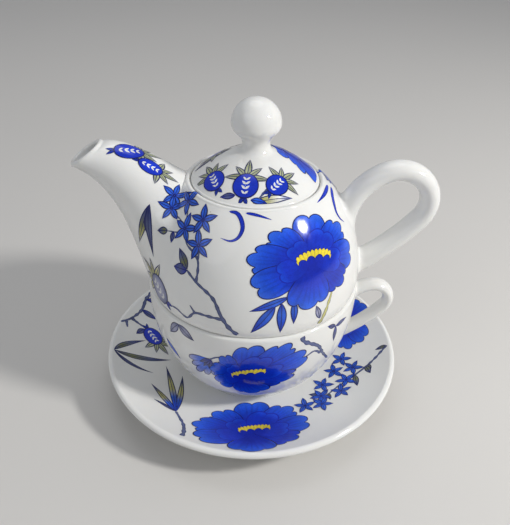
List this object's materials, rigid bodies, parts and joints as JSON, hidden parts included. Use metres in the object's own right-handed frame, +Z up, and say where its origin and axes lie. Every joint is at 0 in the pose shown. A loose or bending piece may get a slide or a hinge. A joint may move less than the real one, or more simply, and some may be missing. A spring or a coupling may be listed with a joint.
{
  "type": "porcelain tea set for one",
  "caption": "Lidded porcelain teapot that nests on the rim of its own cup, which stands on a saucer; blue floral ornament on white glaze.",
  "frame": {"origin": "on the table plane, under the centre of the saucer's foot ring", "axes": "+Z up along the common axis of saucer, cup, pot and lid; the spout points along -X and both handles along +X"},
  "size_m": [0.1699, 0.155, 0.1564],
  "materials": {
    "porcelain": "gloss"
  },
  "bodies": {
    "saucer": {"saucer": "porcelain"},
    "cup": {"cup_bowl": "porcelain", "cup_handle": "porcelain"},
    "pot": {"pot_body": "porcelain", "pot_spout": "porcelain", "pot_handle": "porcelain"},
    "lid": {"lid_cap": "porcelain", "lid_knob": "porcelain"}
  },
  "joints": [
    {"name": "cup_lift", "type": "slide", "parent": "saucer", "child": "cup", "axis": [0, 0, 1], "range_m": [0, 0.04]},
    {"name": "pot_lift", "type": "slide", "parent": "cup", "child": "pot", "axis": [0, 0, 1], "range_m": [0, 0.05]},
    {"name": "lid_lift", "type": "slide", "parent": "pot", "child": "lid", "axis": [0, 0, 1], "range_m": [0, 0.05]}
  ]
}
